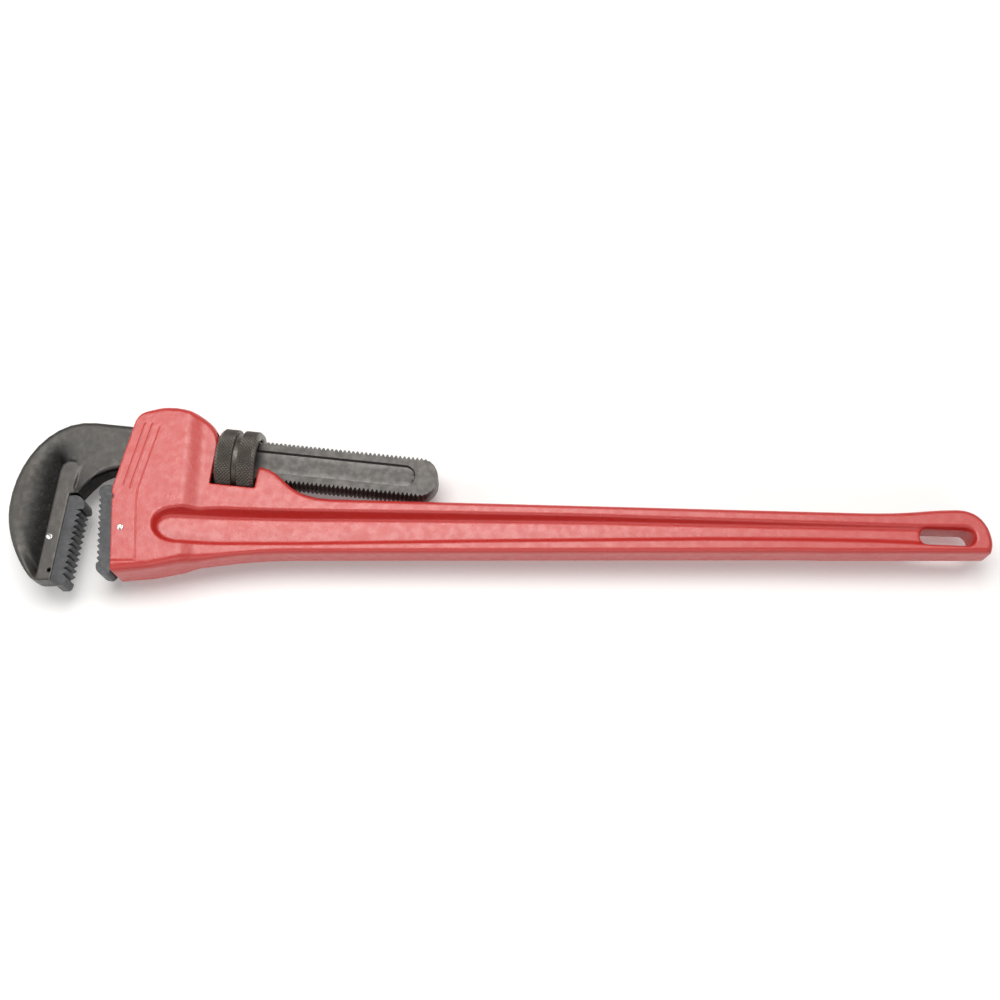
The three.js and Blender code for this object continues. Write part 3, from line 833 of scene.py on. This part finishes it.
def forged_steel():
    m = Shader("forged_black_oxide", (0.072, 0.069, 0.066), Metallic=0.55, Roughness=0.42)
    m.tint(m.spread(m.noise(0.045, 3), 0.35, 0.7, 0, 0.6), (0.086, 0.077, 0.068))
    # painted shade: the colour darkens and the reflection weakens in the hook's hollow and on the throat's
    # wall
    painted_shade = m.node("ShaderNodeAttribute", attribute_name="painted_shade").outputs["Fac"]
    m.tint(m.spread(painted_shade, 0, 0.8, 0, 0.95), (0.007, 0.007, 0.007))
    m.link(m.spread(painted_shade, 0, 0.8, 0.5, 0.05), m.bsdf.inputs["Specular IOR Level"])
    m.tint(m.spread(m.noise(0.0025, 2), 0.55, 0.75, 0, 0.4), (0.052, 0.052, 0.052))
    m.tint(m.edges(0.52, 0.58), (0.16, 0.155, 0.15))
    m.rough(m.spread(m.noise(0.009, 3), 0.3, 0.7, 0.36, 0.50))
    m.bump(m.noise(0.0090, 2), 0.00030)
    m.bump(m.noise(0.0011, 2, 0.6), 0.00007)
    return m.material


def machined_oxide():
    m = Shader("machined_black_oxide", (0.047, 0.049, 0.053), Metallic=0.5, Roughness=0.42)
    m.tint(m.spread(m.noise(0.020, 2), 0.35, 0.7, 0, 0.6), (0.074, 0.076, 0.082))
    m.tint(m.edges(0.54, 0.64), (0.16, 0.16, 0.17))
    # painted shade: darker where the surface is concave, in the creases and the valleys between the teeth
    m.tint(m.edges(0.47, 0.40), (0.010, 0.010, 0.011))
    m.rough(m.spread(m.noise(0.006, 2), 0.3, 0.7, 0.34, 0.48))
    m.bump(m.noise(0.0009, 1, 0.5, stretch=(1, 14, 14)), 0.00004)
    return m.material


def nut_steel():
    m = Shader("phosphated_steel", (0.120, 0.108, 0.094), Metallic=0.6, Roughness=0.40)
    m.tint(m.spread(m.noise(0.012, 3), 0.35, 0.7, 0, 0.6), (0.090, 0.083, 0.074))
    # painted highlight on the knurl's peaks and edges, and painted shade in its valleys
    m.tint(m.edges(0.53, 0.64), (0.50, 0.47, 0.43))
    m.tint(m.edges(0.47, 0.36), (0.016, 0.014, 0.012))
    m.rough(m.spread(m.noise(0.004, 2), 0.3, 0.7, 0.30, 0.46))
    m.bump(m.noise(0.0008, 2), 0.00004)
    return m.material


def bright_steel():
    m = Shader("bright_pin_steel", (0.50, 0.50, 0.49), Metallic=1.0, Roughness=0.26)
    m.tint(m.spread(m.noise(0.0026, 2), 0.5, 0.62), (0.06, 0.06, 0.06))
    m.rough(m.spread(m.noise(0.0010, 2), 0.3, 0.7, 0.2, 0.36))
    m.bump(m.noise(0.0018, 1), 0.00060)
    return m.material


def blued_steel():
    m = Shader("blued_spring_steel", (0.075, 0.085, 0.115), Metallic=0.9, Roughness=0.3)
    m.tint(m.spread(m.noise(0.006, 2), 0.4, 0.7, 0, 0.6), (0.11, 0.10, 0.11))
    m.rough(m.spread(m.noise(0.003, 2), 0.3, 0.7, 0.24, 0.4))
    m.bump(m.noise(0.0007, 1, 0.5, stretch=(12, 1, 1)), 0.00003)
    return m.material


# ---------------------------------------------------------------- assembly
RED = red_enamel()
FORGED = forged_steel()
OXIDE = machined_oxide()
NUT_STEEL = nut_steel()
BRIGHT = bright_steel()
BLUED = blued_steel()


def assemble(obj, material, body, node):
    """Gives a piece its material, the body it rides and the CAD node it replaces."""
    obj.data.materials.clear()
    obj.data.materials.append(material)
    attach(obj, body)
    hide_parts(node)


assemble(handle_body(), RED, "handle", "handle_body")
assemble(heel_jaw(), OXIDE, "handle", "heel_jaw")
heel_pin = pin("heel_pin_turned", HEEL_PIN, HEAD_HALF + PIN_PROUD)
assemble(heel_pin, BRIGHT, "handle", "heel_jaw_pin")
spring = coil()
assemble(spring, BLUED, "handle", "coil_spring")
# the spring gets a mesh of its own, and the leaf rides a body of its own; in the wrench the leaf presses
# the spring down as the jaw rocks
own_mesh(spring)
assemble(leaf_spring(), BLUED, "spring_leaf", "flat_spring")
assemble(rivet(), BRIGHT, "spring_leaf", "spring_rivet")
assemble(hook_forging(), FORGED, "hook", "hook_jaw")
assemble(shank(), FORGED, "hook", "hook_jaw")
for block in hook_insert():
    assemble(block, OXIDE, "hook", "hook_jaw_insert")
hook_pin = pin("hook_pin_turned", HOOK_PIN, HOOK_HALF + PIN_PROUD)
assemble(hook_pin, BRIGHT, "hook", "hook_insert_pin")
assemble(adjusting_nut(), NUT_STEEL, "nut", "adjusting_nut")


# ---------------------------------------------------------------- floor, light and camera, in metres
WARM, PALE = (1.0, 0.98, 0.95), (1.0, 0.98, 0.96)
FLOOR_HALF = 8.0
CAMERA_AT, CAMERA_VIEW = Vector((0, -0.5635, 1.7235)), Vector((0, 0.3387, -0.9409))


def floor():
    a = FLOOR_HALF
    mesh = bpy.data.meshes.new("floor")
    mesh.from_pydata([(-a, -a, 0), (a, -a, 0), (a, a, 0), (-a, a, 0)], [], [(0, 1, 2, 3)])
    obj = added("floor", mesh)
    white = Shader("floor_white", (0.90, 0.90, 0.90), Roughness=0.9, Specular_IOR_Level=0.0,
                   Emission_Color=(1, 1, 1, 1), Emission_Strength=0.15)
    mesh.materials.append(white.material)


def aimed(obj, place, direction):
    """Puts a light or a camera at a place, looking in a direction."""
    obj.location = place
    obj.rotation_mode = "QUATERNION"
    obj.rotation_quaternion = direction.to_track_quat("-Z", "Y")


def softbox(name, place, width, height, power, color):
    """A rectangular light at a place, facing the frame's origin."""
    data = bpy.data.lights.new(name, "AREA")
    data.shape = "RECTANGLE"
    data.size = width
    data.size_y = height
    data.energy = power
    data.color = color
    aimed(added(name, data), place, -Vector(place))


def studio():
    """Softboxes above, at the left and in front, in a dim white surround."""
    world = bpy.data.worlds.new("studio")
    world.use_nodes = True
    background = world.node_tree.nodes["Background"]
    background.inputs["Color"].default_value = (1, 1, 1, 1)
    background.inputs["Strength"].default_value = 0.16
    bpy.context.scene.world = world
    softbox("key_above", (-0.36, 0.85, 2.9), 2.5, 1.8, 76, WARM)
    softbox("key_right", (1.85, 0.85, 2.8), 1.1, 1.8, 16, WARM)
    softbox("side_left", (-3.2, 0.40, 1.9), 1.8, 2.2, 28, PALE)
    softbox("fill_front", (0.2, -2.7, 2.0), 4.0, 1.6, 30, PALE)
    bpy.context.scene.view_settings.view_transform = "Standard"


def camera():
    """Looks down on the wrench, tilted to its lower edge, from 1.8 m away through a 45 mm lens."""
    data = bpy.data.cameras.new("camera")
    data.lens = 45
    data.sensor_width = 36
    obj = added("camera", data)
    aimed(obj, ORIGIN + CAMERA_AT, CAMERA_VIEW)
    bpy.context.scene.camera = obj


floor()
studio()
camera()

bpy.context.view_layer.update()
